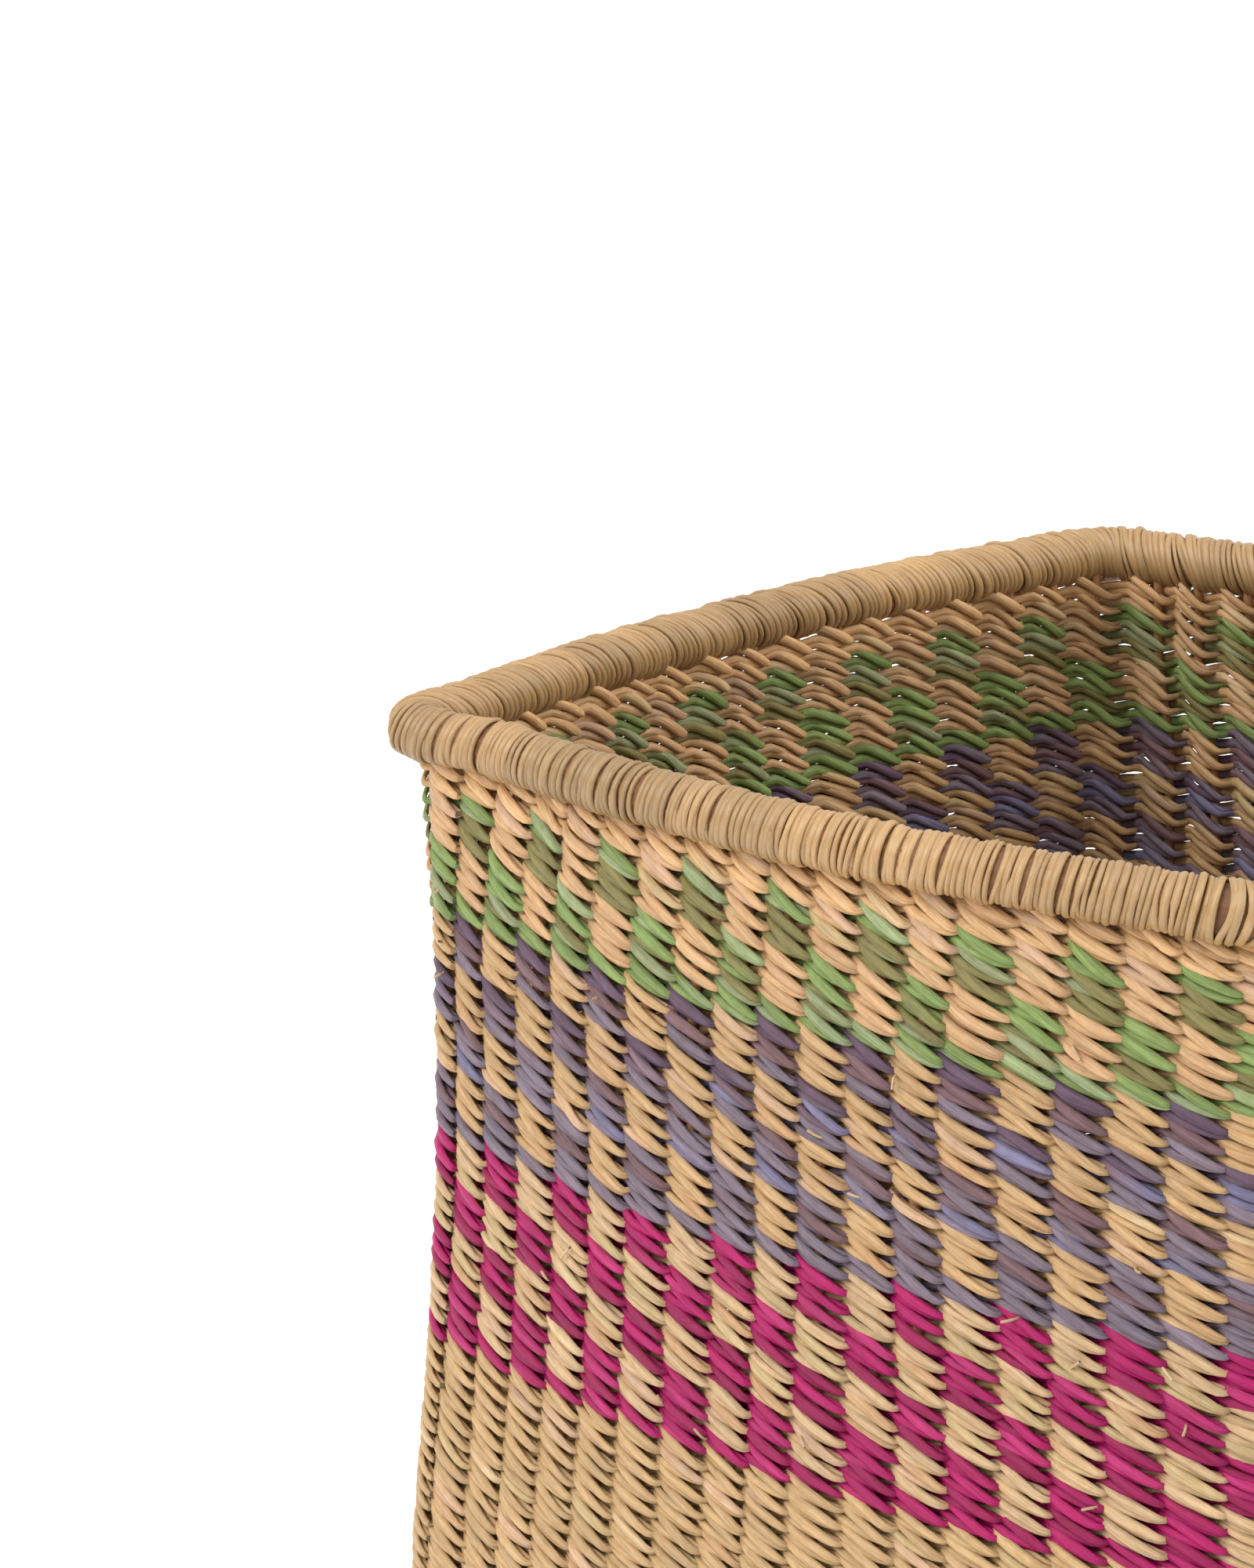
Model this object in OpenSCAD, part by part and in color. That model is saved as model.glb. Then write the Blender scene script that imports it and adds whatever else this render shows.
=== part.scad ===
// Tall woven basket, twined over upright stakes, with a wrapped rim and a flat twined base.
// Origin: centre of the underside. +Z is up. X runs along the two longer sides.
// In plan the wall is a rounded square made of eight arcs: four sides that bulge gently and
// four corners. Every horizontal ring is an offset of that one outline, so it keeps its centres.
// The rim follows the true arcs; the wall follows them in flat facets.

/* [Plan] */
// Distance from the middle to a corner arc's centre, along X
corner_x = 144; // [110:1:180]
// Distance from the middle to a corner arc's centre, along Y
corner_y = 128; // [100:1:180]
// Corner radius of the wall's middle, just under the rim
corner_r = 12; // [11:0.5:20]
// Half of the angle that each bulging side turns through, in degrees
side_turn = 14.25; // [8:0.25:18]

/* [Wall] */
// Height from the floor to the top of the rim
total_h = 440; // [430:1:480]
// Thickness of the weft on each face of the stakes
weft_t = 3.3; // [2.5:0.1:3.6]
// Thickness of a stake, which keeps the two faces of the weft apart
stake_t = 3; // [2:0.1:3.4]
// Width of a stake along the wall
stake_w = 3.6; // [2.5:0.1:5]
// How far the wall steps out just under the rim
shoulder = 4.5; // [0:0.1:5]
// How much further the wall bellies out at its widest
belly = 15; // [6:0.5:16]
// How far the foot is drawn in from the wall's line under the rim
foot_in = 4; // [0:0.5:5]

/* [Stakes] */
// Stakes along each longer side
long_stakes = 17; // [9:1:21]
// Stakes along each shorter side
short_stakes = 16; // [8:1:20]

/* [Rim] */
// Radius of the wrapped rim
rim_r = 8.4; // [7:0.1:9]
// Thickness of the wrap on the rim's core
wrap_t = 2.2; // [1:0.1:3]
// How far the rim's middle stands outside the wall's middle
rim_out = 3.5; // [0:0.1:4]

/* [Colour bands] */
// Row height in the natural rows under the rim and in the green band
green_pitch = 5.2; // [4.8:0.05:5.4]
// Natural rows seen between the rim and the green band
top_rows = 2; // [1:1:4]
// Patterned rows in the green band, above its full row
green_rows = 6; // [3:3:9]
// Row height in the purple band
purple_pitch = 5; // [4.6:0.05:5.2]
// Patterned rows in the purple band, above its full row
purple_rows = 12; // [6:3:15]
// Row height in the magenta band and in the rows below it
magenta_pitch = 4.7; // [4.4:0.05:5]
// Patterned rows in the magenta band, above its full row
magenta_rows = 12; // [6:3:15]

/* [Base] */
// Height of the foot rows and of the woven base
base_h = 9; // [8:0.1:9.6]
// Base stakes, which run along X between the two faces of the base weft
base_stakes = 15; // [7:2:19]

/* [Hidden] */
$fn = 48;

// Radius of the wall's middle along the two longer sides, which face Y, and the two shorter ones
long_r = corner_r + corner_x / sin(side_turn);
short_r = corner_r + corner_y / sin(side_turn);
corner_turn = 90 - 2 * side_turn;
// Degrees by which a corner of the rim runs into the sides next to it, so that the rim is one solid
seam = 0.005;
// Flat facets along each side and round each corner of the wall
side_facets = 8;
corner_facets = 4;
// Gap between the base plate and the foot rows round it
plate_gap = 0.3;

// Centre and radius of the side that faces the direction turn, and centre of the corner after it
function side_radius(turn) = turn % 180 == 0 ? short_r : long_r;
function side_reach(turn) = turn % 180 == 0 ? corner_x : corner_y;
function side_centre(turn) =
    (side_reach(turn) - (side_radius(turn) - corner_r) * cos(side_turn)) * [cos(turn), sin(turn), 0];
function corner_centre(turn) =
    [corner_x * (turn < 90 || turn > 180 ? 1 : -1), corner_y * (turn < 180 ? 1 : -1), 0];

// Offsets of the two faces of the wall from its middle
half_stake = stake_t / 2;
half_wall = half_stake + weft_t;
// How far a stake stays clear of the outer weft, whose facets lie inside the true arcs
slack = 0.03 + max(
    long_r * (1 - cos(side_turn / side_facets)),
    stake_w / 2 * tan(corner_turn / (2 * corner_facets))
);
// Levels of the rim and of the band edges, from the top down
rim_z = total_h - rim_r;
weave_top = total_h - 2 * rim_r;
green_top = weave_top - top_rows * green_pitch;
green_edge = green_top - green_rows * green_pitch;
purple_top = green_edge - green_pitch;
purple_edge = purple_top - purple_rows * purple_pitch;
magenta_top = purple_edge - purple_pitch;
magenta_edge = magenta_top - magenta_rows * magenta_pitch;
body_top = magenta_edge - magenta_pitch;
body_mid = (body_top + base_h) / 2;
// Height over which the shoulder eases out, and the drop from the rim to the widest level
shoulder_h = 14;
widest_drop = weave_top * 0.7;
// Tallest step between two levels of a wall profile
level_step = 32;

// Offset of the wall's middle from the outline at height z: a shoulder under the rim, a belly
// that is widest at 0.7 of the way down, and a quick draw in to the foot
function drop(z) = weave_top - z;
function belly_at(d) = d < widest_drop
    ? belly * pow((1 - cos(180 * d / widest_drop)) / 2, 2)
    : belly - (belly + foot_in + shoulder) * pow((d - widest_drop) / (weave_top - widest_drop), 2.4);
function wall_off(z) = shoulder * (1 - exp(-drop(z) / shoulder_h)) + belly_at(drop(z));

// Levels from z0 to z1, no further apart than level_step
function levels(z0, z1) = let (n = ceil((z1 - z0) / level_step)) [for (i = [0:n]) z0 + (z1 - z0) * i / n];

// Profile of a layer of the wall between two offsets from its middle, from z0 to z1, as
// [offset, height] points that run up its outer face and down its inner one
function layer(in_off, out_off, z0, z1) =
    let (up = levels(z0, z1), last = len(up) - 1)
    concat(
        [for (z = up) [wall_off(z) + out_off, z]],
        [for (i = [last:-1:0]) [wall_off(up[i]) + in_off, up[i]]]
    );

// Points round the outline at an offset: flat facets along each side, then round the next corner
function outline(off) = [
    for (turn = [0:90:270])
        each concat(
            [for (i = [0:side_facets - 1])
                on_arc(side_centre(turn), side_radius(turn) + off, turn + side_turn * (2 * i / side_facets - 1))],
            [for (i = [0:corner_facets - 1])
                on_arc(corner_centre(turn), corner_r + off, turn + side_turn + corner_turn * i / corner_facets)]
        )
];
function on_arc(centre, radius, angle) = [centre[0] + radius * cos(angle), centre[1] + radius * sin(angle)];

// Ring with a closed profile of [offset, height] points
module ring(profile) {
    steps = len(profile);
    around = len(outline(0));
    points = [for (p = profile) each [for (q = outline(p[0])) [q[0], q[1], p[1]]]];
    faces = [
        for (j = [0:steps - 1])
            for (i = [0:around - 1])
                let (up = (j + 1) % steps * around, next = (i + 1) % around)
                [j * around + i, up + i, up + next, j * around + next]
    ];
    polyhedron(points, faces);
}

// Weft rows from z0 to z1: one layer outside the stakes and one inside them
module weft(z0, z1) {
    ring(layer(half_stake, half_wall, z0, z1));
    ring(layer(-half_wall, -half_stake, z0, z1));
}

// One stake: a flat rod that follows the wall, in the direction turn from an arc's centre
module stake(centre, radius, turn) {
    translate(centre)
        rotate([90, 0, turn])
            translate([radius, 0, -stake_w / 2])
                linear_extrude(stake_w)
                    polygon(layer(-half_stake, half_stake - slack, base_h, weave_top));
}

// All the stakes of the side that faces the direction turn
module side_stakes(turn, count) {
    step = 2 * side_turn / count;
    for (i = [0:count - 1])
        stake(side_centre(turn), side_radius(turn), turn - side_turn + (i + 0.5) * step);
}

// Solid plate inside the foot rows, from z0 to z1
module plate(z0, z1) {
    translate([0, 0, z0])
        linear_extrude(z1 - z0)
            polygon(outline(wall_off(0) - half_wall - plate_gap));
}

// One arc of the rim, swept from a flat profile whose x = 0 is the wall's middle outline
module arc_sweep(centre, radius, from, to) {
    translate(centre)
        rotate_extrude(angle = to - from, start = from)
            translate([radius, 0])
                children();
}

// The whole rim: an arc along each side, and one round each corner that runs into both sides
module rim_sweep() {
    for (turn = [0:90:270]) {
        arc_sweep(side_centre(turn), side_radius(turn), turn - side_turn, turn + side_turn)
            children();
        arc_sweep(corner_centre(turn), corner_r, turn + side_turn - seam, turn + 90 - side_turn + seam)
            children();
    }
}

// Points of the rim's section at a radius from its middle
function rim_ring(r) = [for (turn = [0:15:345]) [r * cos(turn), r * sin(turn)]];

module rim_core() {
    color("peru")
        rim_sweep()
            translate([rim_out, rim_z])
                polygon(rim_ring(rim_r - wrap_t));
}

module rim_wrap() {
    color("burlywood")
        rim_sweep()
            translate([rim_out, rim_z])
                difference() {
                    polygon(rim_ring(rim_r));
                    polygon(rim_ring(rim_r - wrap_t));
                }
}

module front_stakes() {
    color("tan") side_stakes(270, long_stakes);
}

module back_stakes() {
    color("tan") side_stakes(90, long_stakes);
}

module left_stakes() {
    color("tan") side_stakes(180, short_stakes);
}

module right_stakes() {
    color("tan") side_stakes(0, short_stakes);
}

module corner_stakes() {
    color("tan")
        for (turn = [0:90:270])
            stake(corner_centre(turn), corner_r, turn + 45);
}

module top_natural_weft() {
    color("wheat") weft(green_top, weave_top);
}

module green_weft() {
    color("darkseagreen") weft(green_edge, green_top);
}

module green_edge_row() {
    color("olivedrab") weft(purple_top, green_edge);
}

module purple_weft() {
    color("rosybrown") weft(purple_edge, purple_top);
}

module purple_edge_row() {
    color("slategray") weft(magenta_top, purple_edge);
}

module magenta_weft() {
    color("palevioletred") weft(magenta_edge, magenta_top);
}

module magenta_edge_row() {
    color("mediumvioletred") weft(body_top, magenta_edge);
}

module upper_body_weft() {
    color("burlywood") weft(body_mid, body_top);
}

module lower_body_weft() {
    color("burlywood") weft(base_h, body_mid);
}

module foot_rows() {
    color("tan") ring(layer(-half_wall, half_wall, 0, base_h));
}

module base_weft() {
    color("burlywood") {
        plate(0, (base_h - stake_t) / 2);
        plate((base_h + stake_t) / 2, base_h);
    }
}

module base_stakes_inside() {
    step = 2 * corner_y / (base_stakes + 1);
    reach = corner_x - corner_r;
    color("tan")
        for (i = [1:base_stakes])
            translate([-reach, i * step - corner_y - stake_w / 2, (base_h - stake_t) / 2])
                cube([2 * reach, stake_w, stake_t]);
}

rim_core();
rim_wrap();
front_stakes();
back_stakes();
left_stakes();
right_stakes();
corner_stakes();
top_natural_weft();
green_weft();
green_edge_row();
purple_weft();
purple_edge_row();
magenta_weft();
magenta_edge_row();
upper_body_weft();
lower_body_weft();
foot_rows();
base_weft();
base_stakes_inside();
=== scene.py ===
"""Looks of a tall woven basket: the weave's strands, the stakes, the wrapped rim and the base are geometry.

Lengths are in millimetres until piece() turns them into metres. The lights and the camera are in metres.
The wall's outline and its offset at each height repeat the design in part.scad.
"""
import math

import bpy
import numpy as np
from mathutils import Matrix, Vector


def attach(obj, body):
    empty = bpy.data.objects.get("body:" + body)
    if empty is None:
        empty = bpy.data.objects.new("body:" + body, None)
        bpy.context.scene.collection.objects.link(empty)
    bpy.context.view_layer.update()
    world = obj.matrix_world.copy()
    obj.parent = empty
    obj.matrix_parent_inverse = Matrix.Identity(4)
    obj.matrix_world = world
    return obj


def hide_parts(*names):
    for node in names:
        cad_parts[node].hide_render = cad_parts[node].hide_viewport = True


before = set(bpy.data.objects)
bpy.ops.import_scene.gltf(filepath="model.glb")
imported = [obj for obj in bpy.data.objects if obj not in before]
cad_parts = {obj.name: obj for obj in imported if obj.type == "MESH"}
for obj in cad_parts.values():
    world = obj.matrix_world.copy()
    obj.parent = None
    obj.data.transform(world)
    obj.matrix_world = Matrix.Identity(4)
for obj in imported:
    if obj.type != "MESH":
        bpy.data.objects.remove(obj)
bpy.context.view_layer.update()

# ---------------------------------------------------------------- the wall's shape, as in part.scad
TOTAL_H = 440.0
CORNER = (144.0, 128.0)  # middle of a corner's arc, along X and Y
CORNER_R = 12.0
SIDE_TURN = math.radians(14.25)  # angle that half of a side turns through
RADII = tuple(CORNER_R + c / math.sin(SIDE_TURN) for c in CORNER)  # of the long and the short sides
RIM_R = 8.4
RIM_OUT = 3.5  # how far the rim's middle stands outside the outline
RIM_Z = TOTAL_H - RIM_R
WEAVE_TOP = TOTAL_H - 2 * RIM_R
SHOULDER = 4.5  # how far the wall swells just under the rim
SHOULDER_H = 14.0  # and the drop over which most of that happens
BELLY = 15.0  # further swell at the widest level
WIDEST_DROP = 0.7 * WEAVE_TOP  # from the top of the weave down to that level
FOOT_IN = 4.0  # how far the foot stands inside the outline
FOOT_POWER = 2.4
STAKES = 70
FRONT_MIDDLE = 8  # the stake in the middle of the front; stakes are counted towards +X


def wall_off(z):
    """Offset of the wall's middle from its outline under the rim, at height z."""
    drop = WEAVE_TOP - np.asarray(z, float)
    shoulder = SHOULDER * (1 - np.exp(-np.clip(drop, 0, None) / SHOULDER_H))
    belly = BELLY * ((1 - np.cos(np.pi * np.clip(drop / WIDEST_DROP, 0, 1))) / 2) ** 2
    below_widest = np.clip((drop - WIDEST_DROP) / (WEAVE_TOP - WIDEST_DROP), 0, None)
    return shoulder + belly - (SHOULDER + BELLY + FOOT_IN) * below_widest ** FOOT_POWER


def make_arcs():
    """(centre, radius, first angle, angle turned) of each arc of the outline, from the front's middle."""
    long_centre = CORNER[1] - (RADII[0] - CORNER_R) * math.cos(SIDE_TURN)
    short_centre = CORNER[0] - (RADII[1] - CORNER_R) * math.cos(SIDE_TURN)
    arcs = []
    for k, facing in enumerate((270, 0, 90, 180, 270)):
        a = math.radians(facing)
        reach, radius = (long_centre, RADII[0]) if facing % 180 else (short_centre, RADII[1])
        first, turned = (a, SIDE_TURN) if k == 0 else (a - SIDE_TURN, SIDE_TURN * (1 if k == 4 else 2))
        arcs.append(((reach * math.cos(a), reach * math.sin(a)), radius, first, turned))
        if k < 4:
            x = CORNER[0] * (1 if facing in (270, 0) else -1)
            y = CORNER[1] * (1 if facing in (0, 90) else -1)
            arcs.append(((x, y), CORNER_R, a + SIDE_TURN, math.pi / 2 - 2 * SIDE_TURN))
    return arcs


ARC_CENTRE, ARC_R, ARC_FROM, ARC_TURN = (np.array(column) for column in zip(*make_arcs()))


def outline(part, off):
    """Points and outward normals of the outline at one offset, at parts (0 to 1) of the way round it."""
    lengths = (ARC_R + off) * ARC_TURN
    ends = np.concatenate([[0], np.cumsum(lengths)])
    s = np.mod(part, 1) * ends[-1]
    k = np.clip(np.searchsorted(ends, s, side="right") - 1, 0, len(ARC_R) - 1)
    a = ARC_FROM[k] + (s - ends[k]) / (ARC_R[k] + off)
    n = np.stack([np.cos(a), np.sin(a)], -1)
    return ARC_CENTRE[k] + (ARC_R[k] + off)[:, None] * n, n


def around(off):
    """Length of the outline at one offset."""
    return float(((ARC_R + off) * ARC_TURN).sum())


# ---------------------------------------------------------------- smooth seeded irregularity
IRREGULARITY_SEED = 11
WAVES_ROUND = (2, 3, 5, 7, 9, 12, 16)  # how many times each wave goes up and down on the way round
LEAN_PITCHES = (31.0, 67.0, 140.0)  # heights over which stakes wander sideways
LEAN_SIZES = (0.035, 0.05, 0.06)  # and how far, in stake spacings
# (stake position, how far out, how many stakes wide) of the pull at each corner of the rim
EARS = ((69.2, 8.0, 1.1), (17.2, 2.0, 1.3), (34.8, 2.0, 1.3), (52.2, 2.0, 1.3))
DRIFT = 0.3  # how far all stakes lean round the wall under the rim, in stake spacings
DRIFT_FROM = 370.0  # height at which that lean starts
DRIFT_RISE = 30.0  # and how much higher it is full

rng = np.random.default_rng(IRREGULARITY_SEED)
WAVES = [
    (m, rng.uniform(18, 60), rng.uniform(0, 2 * np.pi), rng.normal())
    for m in WAVES_ROUND for _ in (0, 1)
]
LEAN_PHASES = rng.uniform(0, 2 * np.pi, (len(LEAN_PITCHES), STAKES))
LEAN_DRAWS = rng.normal(0, 1, (len(LEAN_PITCHES), STAKES))


def wave(u, z):
    """Slow unevenness over the wall, about -1 to 1, at stake position u and height z."""
    total = 0
    for m, pitch, phase, size in WAVES:
        total = total + size * np.sin(2 * np.pi * m * u / STAKES + z / pitch + phase) / (m ** 0.5)
    return total / 3.0


def swell(u, z):
    """How far the wall stands out or in at one place."""
    return 0.5 * wave(u + 31, z * 0.6 + 90)


def lean(u, z):
    """How far each stake has wandered along the wall, in stake spacings."""
    per_stake = 0
    for draws, phases, pitch, size in zip(LEAN_DRAWS, LEAN_PHASES, LEAN_PITCHES, LEAN_SIZES):
        per_stake = per_stake + draws * np.sin(z / pitch + phases) * size
    i = np.floor(u).astype(int)
    f = u - i
    return per_stake[i % STAKES] * (1 - f) + per_stake[(i + 1) % STAKES] * f


def ear(u):
    """How far the rim is pulled out at stake position u, most at its corners."""
    total = 0
    for corner, size, width in EARS:
        total = total + size * np.exp(-((np.mod(u - corner + STAKES / 2, STAKES) - STAKES / 2) / width) ** 2)
    return total


def drift(z):
    """How far every stake leans round the wall at height z, in stake spacings."""
    return DRIFT * min(max((z - DRIFT_FROM) / DRIFT_RISE, 0), 1)


def steps(count, low, high, r):
    """One random value per run of 5 to 16 stitches: a new blade of straw has its own size and tone."""
    out = np.empty(count)
    i = 0
    while i < count:
        n = int(r.integers(5, 17))
        out[i:i + n] = r.uniform(low, high)
        i += n
    return out


# ---------------------------------------------------------------- meshes
FIBRE_START = 5000  # each strand's streaks start somewhere in this length


def ring(sides):
    """Angles of the points of one ring of a tube."""
    return np.arange(sides) * 2 * np.pi / sides


def fibres(along, across, up):
    """Fibre coordinates of a tube: how far along it each ring is, and each point's place in the section."""
    return np.stack(np.broadcast_arrays(along[:, None], across, up), -1)


def unit(vectors):
    return vectors / np.linalg.norm(vectors, axis=1)[:, None]


def grid_faces(rows, cols, closed):
    """Quads of a tube whose rings have cols points, optionally joined end to end."""
    i = np.arange(rows if closed else rows - 1)[:, None]
    j = np.arange(cols)[None, :]
    i2, j2 = (i + 1) % rows, (j + 1) % cols
    quads = np.broadcast_arrays(i * cols + j, i2 * cols + j, i2 * cols + j2, i * cols + j2)
    return np.stack(quads, -1).reshape(-1, 4)


def piece(name, tubes, material, nodes=()):
    """One object made of tubes. A tube is (points, tints, fibre coordinates, closed), in rings."""
    co, tint, fib, faces, at = [], [], [], [], 0
    for points, tints, fibre, closed in tubes:
        rows, cols = points.shape[:2]
        co.append(points.reshape(-1, 3))
        tint.append(tints.reshape(-1, 3))
        fib.append(fibre.reshape(-1, 3))
        faces.append(grid_faces(rows, cols, closed) + at)
        at += rows * cols
    co, tint, fib, faces = (np.concatenate(a) for a in (co, tint, fib, faces))
    me = bpy.data.meshes.new(name)
    me.vertices.add(len(co))
    me.vertices.foreach_set("co", (co * 0.001).astype(np.float32).ravel())
    me.loops.add(faces.size)
    me.loops.foreach_set("vertex_index", faces.astype(np.int32).ravel())
    me.polygons.add(len(faces))
    me.polygons.foreach_set("loop_start", np.arange(0, faces.size, 4, dtype=np.int32))
    me.update(calc_edges=True)
    me.shade_smooth()
    col = me.attributes.new("tint", "FLOAT_COLOR", "POINT")
    col.data.foreach_set("color", np.c_[tint, np.ones(len(tint))].astype(np.float32).ravel())
    vec = me.attributes.new("fib", "FLOAT_VECTOR", "POINT")
    vec.data.foreach_set("vector", fib.astype(np.float32).ravel())
    me.materials.append(material)
    o = bpy.data.objects.new(name, me)
    bpy.context.scene.collection.objects.link(o)
    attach(o, "root")
    if nodes:
        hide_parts(*nodes)


# ---------------------------------------------------------------- materials
STREAK_STRETCH = 0.11  # scale of the noise along a strand, small so that it is drawn out into streaks
WARM_PATCH = (0.93, 0.86, 0.76, 1)


def straw(name, streak_low, streak_high, rough, bump, across=1.7, gloss=0.45):
    """Plant fibre: the piece's own tints, with fine streaks along each strand and a few warmer patches."""
    material = bpy.data.materials.new(name)
    material.use_nodes = True
    nodes, link = material.node_tree.nodes, material.node_tree.links.new
    surface = nodes["Principled BSDF"]

    def attribute(attribute_name, output):
        node = nodes.new("ShaderNodeAttribute")
        node.attribute_name = attribute_name
        return node.outputs[output]

    def noise(vector, scale, detail, roughness=0.5):
        node = nodes.new("ShaderNodeTexNoise")
        node.inputs["Scale"].default_value = scale
        node.inputs["Detail"].default_value = detail
        node.inputs["Roughness"].default_value = roughness
        link(vector, node.inputs["Vector"])
        return node.outputs["Fac"]

    def remap(value, from_range=(0, 1), to_range=(0, 1)):
        node = nodes.new("ShaderNodeMapRange")
        node.inputs["From Min"].default_value, node.inputs["From Max"].default_value = from_range
        node.inputs["To Min"].default_value, node.inputs["To Max"].default_value = to_range
        link(value, node.inputs["Value"])
        return node.outputs["Result"]

    tint = attribute("tint", "Color")
    fibre = attribute("fib", "Vector")
    stretch = nodes.new("ShaderNodeVectorMath")
    stretch.operation = "MULTIPLY"
    stretch.inputs[1].default_value = (STREAK_STRETCH, across, across)
    link(fibre, stretch.inputs[0])
    streak = noise(stretch.outputs[0], 1.0, 4.0, 0.65)
    shade = nodes.new("ShaderNodeVectorMath")
    shade.operation = "SCALE"
    link(tint, shade.inputs[0])
    link(remap(streak, (0.3, 0.7), (streak_low, streak_high)), shade.inputs["Scale"])
    warm = nodes.new("ShaderNodeMix")
    warm.data_type = "RGBA"
    warm.blend_type = "MULTIPLY"
    warm.inputs["B"].default_value = WARM_PATCH
    link(shade.outputs[0], warm.inputs["A"])
    link(remap(noise(fibre, 0.35, 2.0), (0.45, 0.72)), warm.inputs["Factor"])
    link(warm.outputs["Result"], surface.inputs["Base Color"])
    link(remap(streak, to_range=(rough - 0.08, rough + 0.12)), surface.inputs["Roughness"])
    surface.inputs["Specular IOR Level"].default_value = gloss
    relief = nodes.new("ShaderNodeBump")
    relief.inputs["Strength"].default_value = bump
    relief.inputs["Distance"].default_value = 0.0004
    link(streak, relief.inputs["Height"])
    link(relief.outputs["Normal"], surface.inputs["Normal"])
    return material


def srgb(*c):
    """A linear colour from 0 to 255 values as a screen shows them."""
    c = np.array(c, float) / 255
    return np.where(c <= 0.04045, c / 12.92, ((c + 0.055) / 1.055) ** 2.4)


NATURAL = straw("natural straw", 0.68, 1.22, 0.4, 0.9, across=2.3, gloss=0.4)
DYED = straw("dyed straw", 0.64, 1.32, 0.4, 0.9, across=2.3, gloss=0.25)
RIM_STRAW = straw("rim straw", 0.78, 1.16, 0.36, 0.6, across=1.2, gloss=0.65)
REED = straw("stake reed", 0.75, 1.1, 0.65, 0.4)

# Natural straw of the top two rows, lighter than the rest: painted light that offsets the shadow the rim casts
# on them.
TOP_ROWS_PAINTED_LIGHT_STRAW = srgb(214, 172, 122)
PEACH = srgb(198, 158, 114)
GOLD = srgb(190, 154, 108)
CREAM = srgb(196, 164, 124)
BODY = srgb(190, 156, 110)
GREEN = srgb(126, 146, 84)
OLIVE = srgb(124, 116, 70)
SAGE = srgb(150, 160, 120)
PLUM = srgb(96, 74, 92)
MAUVE = srgb(114, 86, 90)
LILAC = srgb(116, 110, 138)
SLATE = srgb(120, 106, 118)
MAGENTA = srgb(162, 18, 90)
CERISE = srgb(144, 18, 76)
ROSE = srgb(174, 44, 104)
REED_TINT = srgb(176, 128, 84)
CORE_TINT = srgb(120, 82, 50)
CUT_END = srgb(206, 178, 138)
ODD_NATURAL = (srgb(184, 142, 100), srgb(196, 160, 130), srgb(184, 160, 112), srgb(210, 182, 138))
ODD_BASE = (srgb(196, 150, 104), srgb(186, 172, 116))
RIM_TINT, RIM_BROWN, RIM_YELLOW = srgb(177, 142, 96), srgb(172, 132, 95), srgb(170, 137, 91)

# ---------------------------------------------------------------- the weave
# STATIONS are the parts of an outer stitch at which its strand has a ring of points. The rest say how far out
# it is there (in STRAND_R), how high (in SLANT), and how tall and how deep its section is, and end with the
# stitch's far end. It comes out thick between two stakes, lies flat on its stake, and ends in a thin tip that
# lies on the next stitch. An inner stitch is the same seen from inside, so it runs backwards through them.
STATIONS = np.array([0.0, 0.07, 0.16, 0.3, 0.5, 0.7, 0.84, 0.93])
OUTWARD = np.array([0.0, 0.3, 0.62, 0.92, 1.06, 1.1, 1.1, 1.0, 0.5])
HIGH = np.array([1.0, 0.88, 0.68, 0.33, -0.17, -0.63, -0.9, -0.98, -1.0])
TALL = np.array([1.52, 1.52, 1.5, 1.46, 1.42, 1.28, 1.0, 0.72, 0.7])
DEEP = np.array([1.1, 1.08, 1.0, 0.92, 0.86, 0.8, 0.72, 0.62, 0.7])
STRAND_R = 2.3  # how far a strand's middle passes from the wall's middle
BEFORE = 0.5  # how far an outer stitch reaches back from its stake, in stake spacings
AFTER = 0.7  # how far its tip reaches past the stake
SLANT = 0.46  # how far above and below the middle of its row a stitch starts and ends, in row heights
PLY_SIDES = 7
PLY_OUT = 0.225  # from a strand's middle to the middle of each of its two plies, in row heights
PLY_REACH = 0.2  # half of a ply's section along that line
PLY_WIDE = 0.27  # and half of it across
FIBRE_R = 1.2  # radius of a ply's section in fibre coordinates
FIBRE_TWIST = 0.4  # how far the fibres turn with the ply
BLADE_MIX = 0.75  # share of the odd colour in a blade that has one


def strand_tint(tint, count, r, spread, odd, odd_share):
    """Tint of each stitch of one ply: mostly the strand's own, with a few blades of an odd colour."""
    value = steps(count, 1 - spread, 1 + spread * 0.6, r)[:, None]
    mix = (steps(count, 0, 1, r) < odd_share)[:, None] * BLADE_MIX
    pick = odd[r.integers(len(odd))]
    return tint * value * (1 - mix) + pick * value * mix


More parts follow.
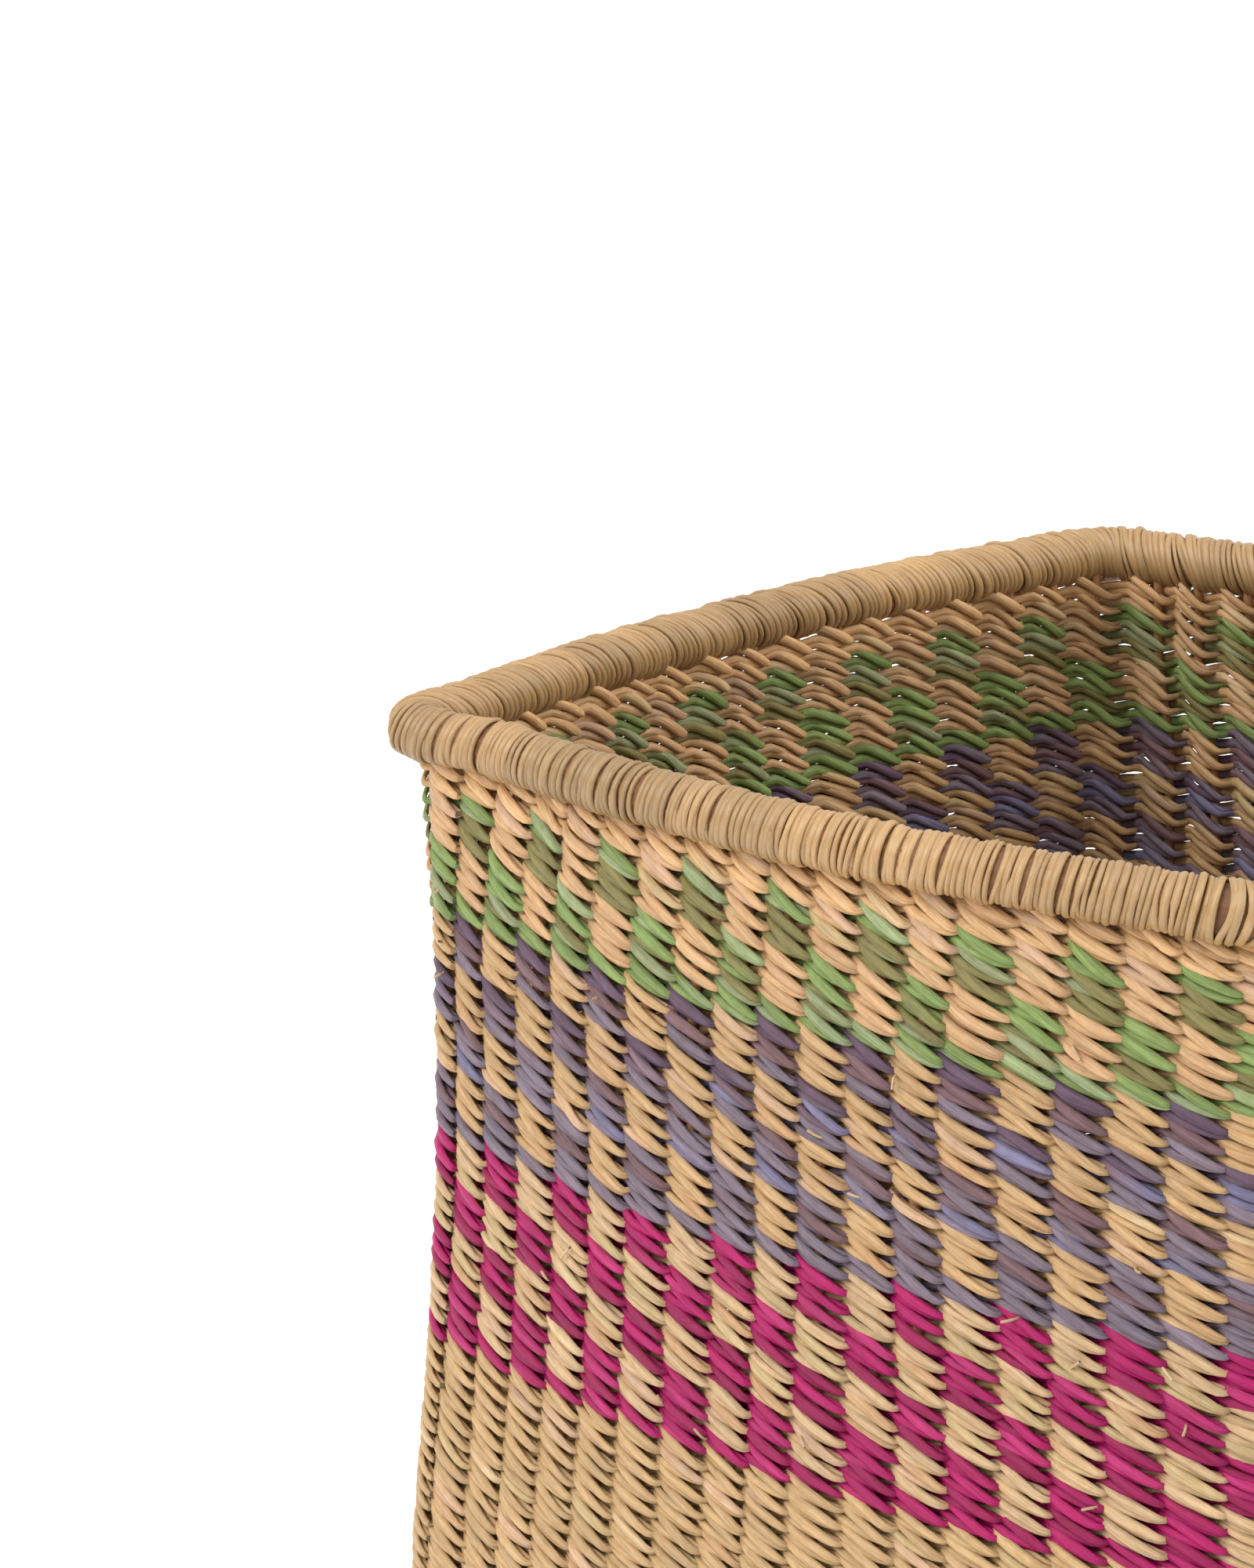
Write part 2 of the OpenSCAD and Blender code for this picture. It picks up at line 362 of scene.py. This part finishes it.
def twine(stitch_length, place, stitches, pitch, outside, tint, r, closed, spread, odd, odd_share):
    """The two plies of one strand that passes in front of every second stake.

    outside is 0 or 1: the parity of the stakes that the strand passes in front of. place(u, radial, up)
    gives points.
    """
    last = len(STATIONS)
    k = np.repeat(np.arange(stitches), last)
    f = np.tile(STATIONS, stitches)
    at = np.tile(np.arange(last), stitches)
    if not closed:
        k, f, at = np.append(k, stitches - 1), np.append(f, 1.0), np.append(at, last)
    outer = (k + outside) % 2 == 0
    side = np.where(outer, 1.0, -1.0)
    at = np.where(outer, at, last - at)
    t = k + np.where(outer, f * (BEFORE + AFTER) - BEFORE, f * (2 - BEFORE - AFTER) - 1 + AFTER)
    ease = f * f * (3 - 2 * f)
    after = (k + 1) % stitches
    jitter = r.normal(0, 1, (5, stitches))
    slant, lift, shove, twist, bulk = jitter[:, k] * (1 - ease) + jitter[:, after] * ease
    out = (STRAND_R + 0.14 * shove) * side * OUTWARD[at]
    up = pitch * ((SLANT + 0.04 * slant) * HIGH[at] + 0.035 * lift)
    wind = (k - outside + f) * np.pi / 2
    theta = ring(PLY_SIDES)
    tubes = []
    for ply in (0, 1):
        phi = np.pi / 2 + np.pi * ply - wind + 0.32 * twist
        size = (1 + 0.1 * steps(stitches, -1, 1, r)[k] + 0.05 * bulk) * pitch
        cos, sin = np.cos(phi)[:, None], np.sin(phi)[:, None]
        reach = (PLY_OUT + PLY_REACH * np.cos(theta)) * size[:, None]
        wide = (PLY_WIDE * np.sin(theta)) * size[:, None]
        radial = out[:, None] + (reach * cos - wide * sin) * DEEP[at][:, None]
        rise = up[:, None] + (reach * sin + wide * cos) * TALL[at][:, None]
        points = place(np.repeat(t, PLY_SIDES), radial.ravel(), rise.ravel()).reshape(len(t), PLY_SIDES, 3)
        tone = strand_tint(tint, stitches, r, spread, odd, odd_share)
        tone = tone[k] * (1 - ease[:, None]) + tone[after] * ease[:, None]
        turn = theta + phi[:, None] * FIBRE_TWIST
        along = t * stitch_length + r.uniform(0, FIBRE_START)
        fib = fibres(along, FIBRE_R * np.cos(turn), FIBRE_R * np.sin(turn))
        tubes.append((points, np.repeat(tone[:, None], PLY_SIDES, 1), fib, closed))
    return tubes


ROW_WANDER = 0.75  # how far a row wanders up and down
EAR_FOLLOW = 0.85  # share of the rim's ears that the top of the wall follows
EAR_FADE = 22.0  # drop over which that share fades


def wall_place(z):
    """place() for one row of the wall at height z."""
    off = float(wall_off(z))
    slope = float(wall_off(z + 1) - wall_off(z - 1)) / 2
    pull = EAR_FOLLOW * math.exp((z - WEAVE_TOP) / EAR_FADE)

    def place(u, radial, up):
        bend = ROW_WANDER * wave(u, z)
        along = u + lean(u, z) + drift(z)
        p, n = outline((along - FRONT_MIDDLE) / STAKES, off)
        out = radial + slope * (up + bend) + swell(u, z) + pull * ear(along)
        return np.c_[p + n * out[:, None], z + up + bend]

    return place


BOTH = 2  # both strands of a row are dyed
STEP_ROWS = 3  # rows after which the dyed strand of a pattern moves on by one stake
TUBES_PER_PIECE = 24


def row_of(z, pitch, parity, colours, natural):
    """Strands of one row: dyed plies, natural plies.

    colours is None, or the dyed strand's tint and its odd blades. parity is the dyed strand's, or BOTH.
    """
    r = np.random.default_rng(int(z * 10))
    place = wall_place(z)
    length = around(float(wall_off(z))) / STAKES
    dyed, plain = [], []
    for outside in (0, 1):
        if colours is not None and parity in (outside, BOTH):
            dyed += twine(length, place, STAKES, pitch, outside, colours[0], r, True, 0.16, colours[1], 0.25)
        else:
            plain += twine(length, place, STAKES, pitch, outside, natural, r, True, 0.12, ODD_NATURAL, 0.2)
    return dyed, plain


def band(name, slot, node, rows):
    """Pieces for one band, which stand for its CAD node. rows holds what row_of() takes."""
    dyed, plain = [], []
    for row in rows:
        row_dyed, row_plain = row_of(*row)
        dyed += row_dyed
        plain += row_plain
    for tubes, material, its_slot, label in (
        (dyed, DYED, slot, "dyed"),
        (plain, NATURAL, "natural_straw", "natural"),
    ):
        for i in range(0, len(tubes), TUBES_PER_PIECE):
            part = tubes[i:i + TUBES_PER_PIECE]
            piece(f"{name}_{label}_{i // TUBES_PER_PIECE + 1}", part, material, [node])


def pattern(first_z, pitch, tints, odd, natural, start=0):
    """Rows of a patterned band, one for each dyed tint."""
    return [
        (first_z - pitch * i, pitch, (i // STEP_ROWS + start) % 2, (tint, odd), natural)
        for i, tint in enumerate(tints)
    ]


GREEN_PITCH, PURPLE_PITCH, BODY_PITCH = 5.2, 5.0, 4.7  # row heights; the magenta rows have the body's
GREENS = (GREEN, OLIVE, OLIVE, GREEN, GREEN, OLIVE)
PURPLES = (PLUM, MAUVE, SLATE, PLUM, LILAC, SLATE, MAUVE, SLATE, LILAC, SLATE, MAUVE, SLATE)
MAGENTAS = (MAGENTA, MAGENTA, CERISE) * 4
BODY_ROWS = 51
UPPER_ROWS = 26

# The top two rows use the lighter straw, painted light against the rim's shadow on them.
top_rows = [(z, GREEN_PITCH, 0, None, TOP_ROWS_PAINTED_LIGHT_STRAW) for z in (422.1, 416.9)]
green_rows = pattern(411.7, GREEN_PITCH, GREENS, (OLIVE, SAGE), PEACH)
green_edge = [(380.4, GREEN_PITCH, BOTH, (GREEN, (SAGE, GREEN)), PEACH)]
purple_rows = pattern(375.3, PURPLE_PITCH, PURPLES, (SLATE, MAUVE), GOLD)
purple_edge = [(315.4, PURPLE_PITCH, BOTH, (SLATE, (LILAC, MAUVE)), GOLD)]
magenta_rows = pattern(310.6, BODY_PITCH, MAGENTAS, (CERISE, ROSE), CREAM, start=1)
magenta_edge = [(254.2, BODY_PITCH, BOTH, (MAGENTA, (CERISE, ROSE)), CREAM)]
body_rows = [(249.5 - BODY_PITCH * i, BODY_PITCH, 0, None, BODY) for i in range(BODY_ROWS)]
foot_rows = [(7.4, 4.4, 0, None, BODY), (3.7, 3.5, 0, None, BODY)]

band("top_natural", "natural_straw", "top_natural_weft", top_rows)
band("green", "green_straw", "green_weft", green_rows)
band("green_edge", "green_straw", "green_edge_row", green_edge)
band("purple", "purple_straw", "purple_weft", purple_rows)
band("purple_edge", "purple_straw", "purple_edge_row", purple_edge)
band("magenta", "magenta_straw", "magenta_weft", magenta_rows)
band("magenta_edge", "magenta_straw", "magenta_edge_row", magenta_edge)
band("upper_body", "natural_straw", "upper_body_weft", body_rows[:UPPER_ROWS])
band("lower_body", "natural_straw", "lower_body_weft", body_rows[UPPER_ROWS:])
band("foot", "natural_straw", "foot_rows", foot_rows)

# ---------------------------------------------------------------- stakes
STAKE_R = 1.55
STAKE_FOOT, STAKE_TOP = 3, 428
SIDES = (("front", 0, 17), ("right", 18, 16), ("back", 35, 17), ("left", 53, 16))  # (side, first stake, count)
CORNER_STAKES = (17, 34, 52, 69)
SOME_WAY = (0.13, 0.31, 0.2)  # a direction that no rod runs along


def rod(points, radius, tint, r, sides=6):
    """A round rod through points."""
    ahead = unit(np.gradient(points, axis=0))
    side = unit(np.cross(ahead, SOME_WAY))
    other = np.cross(ahead, side)
    theta = ring(sides)
    spokes = np.cos(theta)[:, None] * side[:, None] + np.sin(theta)[:, None] * other[:, None]
    p = points[:, None] + radius * spokes
    lengths = np.linalg.norm(np.diff(points, axis=0), axis=1)
    run = np.concatenate([[0], np.cumsum(lengths)]) + r.uniform(0, FIBRE_START)
    return p, np.broadcast_to(tint, p.shape), fibres(run, np.cos(theta), np.sin(theta)), False


def stake(u, r):
    """One stake, from the base up into the rim."""
    points = []
    for z in np.linspace(STAKE_FOOT, STAKE_TOP, 60):
        along = u + lean(np.array([u]), z) + drift(z)
        p, n = outline((along - FRONT_MIDDLE) / STAKES, float(wall_off(z)))
        points.append([*(p[0] + n[0] * swell(u, z)), z])
    return rod(np.array(points), STAKE_R, REED_TINT * r.uniform(0.8, 1.1), r)


stake_rng = np.random.default_rng(5)
for side_name, first, count in SIDES:
    rods = [stake(float(u), stake_rng) for u in range(first, first + count)]
    piece(f"{side_name}_stake_rods", rods, REED, [f"{side_name}_stakes"])
corner_rods = [stake(float(u), stake_rng) for u in CORNER_STAKES]
piece("corner_stake_rods", corner_rods, REED, ["corner_stakes"])

# ---------------------------------------------------------------- frayed ends
FRAYED_ENDS = 170
FRAYED_R = 0.42


def frayed_end(u, z, r):
    """The pale cut end of a blade that sticks out of the weave, on a curve through a bend."""
    place = wall_place(z)
    tip_u, tip_up = u + r.uniform(-0.25, 0.3), r.uniform(-4.5, 3.5)
    root, tip = place(np.array([u, tip_u]), np.array([2.6, 5.2]), np.array([0.0, tip_up]))
    bend_u, bend_up = u + r.uniform(0, 0.1), r.uniform(-1, 1)
    bend = place(np.array([bend_u]), np.array([4.6]), np.array([bend_up]))[0]
    q = np.linspace(0, 1, 5)[:, None]
    curve = (1 - q) ** 2 * root + 2 * q * (1 - q) * bend + q ** 2 * tip
    return rod(curve, FRAYED_R, CUT_END * r.uniform(0.85, 1.1), r, sides=5)


rod_rng = np.random.default_rng(77)  # for the frayed ends, and then for the base's rods
ends = [frayed_end(rod_rng.uniform(0, STAKES), rod_rng.uniform(30, 405), rod_rng) for _ in range(FRAYED_ENDS)]
piece("frayed_blade_ends", ends, NATURAL)

# ---------------------------------------------------------------- rim
RIM_SEAM = 0.62  # where on the way round the wrap starts and ends
WRAP_ROUND = 1.004  # the wrap's last turns lie over its first
WRAP_TURNS = 590
RINGS_PER_TURN = 22
BLADE_SIDES = 6
BLADE_THICK = 0.75  # half of a blade's thickness
BLADE_OVERLAP = 1.19  # a blade's width in its share of the rim
TURN_LENGTH = 53.0  # length of blade in one turn
CORE_RINGS = 420
CORE_SIDES = 12
CORE_FIBRE_R = 7


def rim_path(part):
    """Middle of the rim, its outward normal and its size, at parts of the way round."""
    u = part * STAKES + FRONT_MIDDLE
    p, n = outline(part, RIM_OUT)
    out = 0.6 * wave(u, 400.0)
    up = 0.7 * wave(u + 20, 250.0)
    size = 1 + 0.035 * wave(u + 47, 130.0)
    return np.c_[p + n * (out + ear(u))[:, None], RIM_Z + up], n, size


def wrap_rim():
    """The wrap: one flat blade wound round the core, a little wider and narrower from turn to turn."""
    r = np.random.default_rng(23)
    q = np.arange(WRAP_TURNS * RINGS_PER_TURN) / RINGS_PER_TURN
    k = np.floor(q).astype(int)
    f = q - k
    ease = f * f * (3 - 2 * f)

    def vary(per_turn):
        """A value of each turn, eased into the next turn's."""
        return per_turn[k] * (1 - ease) + per_turn[(k + 1) % WRAP_TURNS] * ease

    def jitter():
        return vary(r.normal(0, 1, WRAP_TURNS))

    pace = 1 + 0.2 * r.normal(0, 1, WRAP_TURNS).clip(-1.6, 1.6)
    pace /= pace.sum()
    edge = np.concatenate([[0], np.cumsum(pace)])
    part = RIM_SEAM + (edge[k] * (1 - f) + edge[k + 1] * f) * WRAP_ROUND
    lean_along = vary(r.normal(3.99, 0.798, WRAP_TURNS))
    angle = -2 * np.pi * q
    per_mm = 1 / around(RIM_OUT)
    part = part + lean_along * np.sin(angle + 0.9) * per_mm
    mid, normal, size = rim_path(part)
    along = unit(rim_path(part + per_mm)[0] - mid)
    out = np.c_[normal, np.zeros(len(q))]
    up = np.cross(out, along)
    up *= np.sign(up[:, 2])[:, None]
    thick = BLADE_THICK + 0.1 * jitter()
    radius = (RIM_R - BLADE_THICK) * size + 0.3 * jitter()
    width = 0.5 * pace[k] / per_mm * (BLADE_OVERLAP + 0.12 * jitter())
    spoke = np.cos(angle)[:, None] * out + np.sin(angle)[:, None] * up
    theta = ring(BLADE_SIDES)
    from_middle = radius[:, None] + thick[:, None] * np.cos(theta)
    across = width[:, None] * np.sin(theta)
    p = mid[:, None] + spoke[:, None] * from_middle[..., None] + along[:, None] * across[..., None]
    value = vary(steps(WRAP_TURNS, 0.8, 1.12, r) * r.uniform(0.93, 1.06, WRAP_TURNS))
    kind = steps(WRAP_TURNS, 0, 1, r)[:, None]
    tint = np.where(kind > 0.84, RIM_BROWN, np.where(kind < 0.12, RIM_YELLOW, RIM_TINT))
    tone = tint[k] * value[:, None]
    fib = fibres(q * TURN_LENGTH, 1.3 * np.cos(theta), 2.4 * np.sin(theta))
    return p, np.repeat(tone[:, None], BLADE_SIDES, 1), fib, False


def core_rim():
    """The bundle that the wrap is wound on."""
    part = np.arange(CORE_RINGS) / CORE_RINGS
    mid, normal, size = rim_path(part)
    theta = ring(CORE_SIDES)
    out = np.c_[normal, np.zeros(CORE_RINGS)]
    spokes = np.cos(theta)[:, None] * out[:, None] + np.sin(theta)[:, None] * np.array([0, 0, 1.0])
    p = mid[:, None] + ((RIM_R - 1.0) * size)[:, None, None] * spokes
    fib = fibres(part * around(RIM_OUT), CORE_FIBRE_R * np.cos(theta), CORE_FIBRE_R * np.sin(theta))
    return p, np.broadcast_to(CORE_TINT, p.shape), fib, True


piece("rim_winding", [wrap_rim()], RIM_STRAW, ["rim_wrap"])
piece("rim_bundle", [core_rim()], REED, ["rim_core"])

# ---------------------------------------------------------------- base
BASE_Z = 4.5
BASE_PITCH = 5.0
BASE_STEP = 16.0  # between the base's stakes
BASE_HALF = 160  # rows are laid out this far each way along X
BASE_STAKES = 15
BASE_ROD_R = 1.4
BASE_PIECES = 3
BASE_SEED = 900
BASE_GAP = 3.0  # from the wall's middle to the base's edge
EDGE_NEAR = 1.5  # how close to a row or stake the points of the edge that end it are
BASE_EDGE = outline(np.arange(2000) / 2000, float(wall_off(BASE_Z)) - BASE_GAP)[0]


def base_reach(axis, at):
    """How far each way the base reaches, at one place along an axis (0 for X, 1 for Y)."""
    near = BASE_EDGE[np.abs(BASE_EDGE[:, axis] - at) < EDGE_NEAR]
    return np.abs(near[:, 1 - axis]).max() if len(near) else 0


def base_row(x, i):
    """Both strands of one row of the base, which runs along Y."""
    reach = base_reach(0, x)
    stitches = int(2 * reach // BASE_STEP)
    if stitches < 2:
        return []
    r = np.random.default_rng(BASE_SEED + i)

    def place(u, radial, up):
        y = (u - (stitches - 1) / 2) * (2 * reach / stitches)
        sway = 0.4 * np.sin(y / 23 + i * 0.7)
        return np.c_[x + up + sway, y, BASE_Z + radial * 0.9]

    tubes = []
    for outside in (0, 1):
        tubes += twine(BASE_STEP, place, stitches, BASE_PITCH, outside, BODY, r, False, 0.12, ODD_BASE, 0.2)
    return tubes


base_rows = [base_row(x, i) for i, x in enumerate(np.arange(-BASE_HALF, BASE_HALF + 0.1, BASE_PITCH))]
share = len(base_rows) // BASE_PIECES + 1
for i in range(BASE_PIECES):
    tubes = sum(base_rows[i * share:(i + 1) * share], [])
    piece(f"base_rows_{i + 1}", tubes, NATURAL, ["base_weft"])

base_rods = []
for i in range(BASE_STAKES):
    y = BASE_STEP * (i - BASE_STAKES // 2)
    reach = base_reach(1, y)
    points = np.c_[np.linspace(-reach, reach, 30), np.full(30, y), np.full(30, BASE_Z)]
    base_rods.append(rod(points, BASE_ROD_R, REED_TINT, rod_rng))
piece("base_rods", base_rods, REED, ["base_stakes_inside"])

# ---------------------------------------------------------------- floor and light, in metres
FLOOR_HALF = 30
FLOOR_GREY = 0.92
SKY_STRENGTH = 0.77
BASKET_MIDDLE = (0, 0, 0.3)
BROAD_ANGLE = 0.9  # how wide the broad lights are, in radians

corners = [(x * FLOOR_HALF, y * FLOOR_HALF, 0) for x, y in ((-1, -1), (1, -1), (1, 1), (-1, 1))]
floor_mesh = bpy.data.meshes.new("floor")
floor_mesh.from_pydata(corners, [], [(0, 1, 2, 3)])
floor = bpy.data.objects.new("floor", floor_mesh)
bpy.context.scene.collection.objects.link(floor)
pale = bpy.data.materials.new("pale floor")
pale.use_nodes = True
pale_surface = pale.node_tree.nodes["Principled BSDF"]
pale_surface.inputs["Base Color"].default_value = (FLOOR_GREY, FLOOR_GREY, FLOOR_GREY, 1)
pale_surface.inputs["Roughness"].default_value = 0.9
floor_mesh.materials.append(pale)

world = bpy.data.worlds.new("studio")
bpy.context.scene.world = world
world.use_nodes = True
sky = world.node_tree.nodes["Background"]
sky.inputs["Color"].default_value = (1, 1, 1, 1)
sky.inputs["Strength"].default_value = SKY_STRENGTH


def lamp(name, kind, travel, power):
    """A light of one kind that shines along travel."""
    light = bpy.data.lights.new(name, kind)
    light.energy = power
    o = bpy.data.objects.new(name, light)
    o.rotation_euler = Vector(travel).to_track_quat("-Z", "Y").to_euler()
    bpy.context.scene.collection.objects.link(o)
    return o


def softbox(name, where, size, power):
    """A square lit panel that faces the basket."""
    o = lamp(name, "AREA", Vector(BASKET_MIDDLE) - Vector(where), power)
    o.location = where
    o.data.shape = "RECTANGLE"
    o.data.size = o.data.size_y = size


def broad_light(name, travel, power):
    """A wide soft light from far away."""
    lamp(name, "SUN", travel, power).data.angle = BROAD_ANGLE


softbox("key", (-0.6, -2.4, 2.4), 1.6, 24)
softbox("top", (0.2, 0.2, 3.0), 2.0, 12)
broad_light("broad ceiling light", (0.45, 0.75, -0.85), 1.45)
broad_light("broad light from the far right", (-0.75, -0.4, -0.5), 1.8)

# ---------------------------------------------------------------- camera, in metres
CAMERA_AT = (1.3368, -1.4818, 0.9295)
PITCH = 0.348  # how far below level the camera would look at the basket
TURN = 0.734  # and how far from +Y towards -X, both in radians
AIM_LEFT = 0.0760646  # it is aimed this much to the left of that, for each metre ahead
AIM_UP = 0.0950373  # and this much above it

to_basket = Vector((-math.sin(TURN), math.cos(TURN), 0))
right = Vector((math.cos(TURN), math.sin(TURN), 0))
ahead = to_basket * math.cos(PITCH) - Vector((0, 0, math.sin(PITCH)))
upward = to_basket * math.sin(PITCH) + Vector((0, 0, math.cos(PITCH)))
aim = (ahead - right * AIM_LEFT + upward * AIM_UP).normalized()
side = aim.cross(upward).normalized()
top = side.cross(aim)
cam = bpy.data.cameras.new("camera")
cam.lens = 166.9
cam.sensor_width = 36
cam.clip_end = 100
camera = bpy.data.objects.new("camera", cam)
bpy.context.scene.collection.objects.link(camera)
camera.matrix_world = Matrix.Translation(CAMERA_AT) @ Matrix((side, top, -aim)).transposed().to_4x4()
bpy.context.scene.camera = camera
bpy.context.scene.view_settings.view_transform = "Standard"
